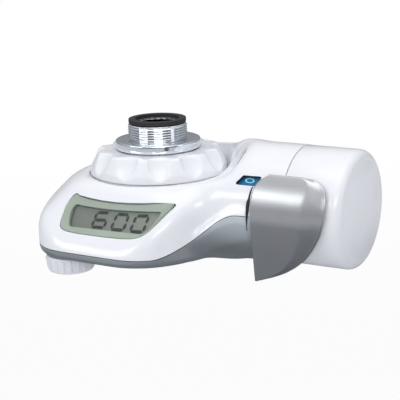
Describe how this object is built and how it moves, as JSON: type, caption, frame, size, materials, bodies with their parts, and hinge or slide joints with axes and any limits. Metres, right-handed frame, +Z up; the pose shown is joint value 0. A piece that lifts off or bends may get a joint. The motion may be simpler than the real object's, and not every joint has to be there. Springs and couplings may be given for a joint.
{
  "type": "faucet mount water filter",
  "caption": "White faucet-mount water filter with a ring nut under a chrome tap adapter, a sloping digital display, a grey underside, a silver selector lever and a horizontal filter barrel",
  "frame": {"origin": "on the inlet axis, at the shoulder of the tap adapter that the tap's end rests on", "axes": "+Z up along the inlet axis, +X along the filter barrel towards its end cover, -Y towards the display side"},
  "size_m": [0.1312, 0.0863, 0.0566],
  "materials": {
    "white_gloss": "smooth gloss white",
    "grey_satin": "satin slate grey",
    "silver_paint": "metallic silver paint, satin",
    "chrome_plate": "bright chrome plating",
    "stainless": "plain stainless steel",
    "black_rubber": "black rubber",
    "natural_plastic": "natural moulded plastic",
    "blue_label": "printed blue film",
    "pale_green_frame": "pale green-grey satin",
    "clear_lens": "clear polished lens",
    "lcd_grey": "grey liquid-crystal panel",
    "board_green": "green solder mask",
    "black_plastic": "black moulded plastic",
    "cartridge_white": "off-white moulded plastic",
    "pressed_carbon": "pressed carbon powder"
  },
  "bodies": {
    "housing": {"tap_adapter": "chrome_plate", "adapter_washer": "black_rubber", "inlet_seal": "black_rubber", "inlet_strainer": "stainless", "upper_housing": "white_gloss", "lower_housing": "grey_satin", "housing_screw_1": "stainless", "housing_screw_2": "stainless", "housing_screw_3": "stainless", "display_bezel": "pale_green_frame", "display_window": "clear_lens", "lcd_panel": "lcd_grey", "circuit_board": "board_green", "battery": "stainless", "battery_holder": "black_plastic", "water_manifold": "natural_plastic", "drum_seal_inner": "black_rubber", "drum_seal_outer": "black_rubber", "port_seal": "black_rubber", "drum_retaining_ring": "natural_plastic", "turbine_cover": "natural_plastic", "turbine_axle": "stainless"},
    "nut": {"ring_nut": "white_gloss"},
    "selector": {"selector_lever": "silver_paint", "selector_drum": "natural_plastic", "selector_label": "blue_label"},
    "cartridge": {"cartridge_shell": "cartridge_white", "filter_block": "pressed_carbon", "core_tube": "cartridge_white", "cartridge_end_plate": "white_gloss"},
    "cover": {"cartridge_cover": "white_gloss", "cover_gasket": "black_rubber"},
    "outlet": {"outlet_collar": "white_gloss", "aerator_disc": "stainless", "outlet_gasket": "black_rubber"},
    "turbine": {"flow_turbine": "natural_plastic"}
  },
  "joints": [
    {"name": "ring_nut_turn", "type": "hinge", "parent": "housing", "child": "nut", "pos_m": [0, 0, -0.0131], "axis": [0, 0, 1], "continuous": true},
    {"name": "selector_turn", "type": "hinge", "parent": "housing", "child": "selector", "pos_m": [0.045, 0.0008, -0.0211], "axis": [1, 0, 0], "range_deg": [-50, 0]},
    {"name": "cover_turn", "type": "hinge", "parent": "cartridge", "child": "cover", "pos_m": [0.0653, 0.0008, -0.0211], "axis": [1, 0, 0], "continuous": true},
    {"name": "cartridge_slide", "type": "slide", "parent": "housing", "child": "cartridge", "axis": [1, 0, 0], "range_m": [0, 0.055]},
    {"name": "outlet_collar_turn", "type": "hinge", "parent": "housing", "child": "outlet", "pos_m": [-0.0215, -0.0346, -0.0414], "axis": [0, 0, 1], "continuous": true},
    {"name": "turbine_spin", "type": "hinge", "parent": "housing", "child": "turbine", "pos_m": [-0.00317, -0.01213, -0.0377], "axis": [0, 0, 1], "continuous": true}
  ]
}
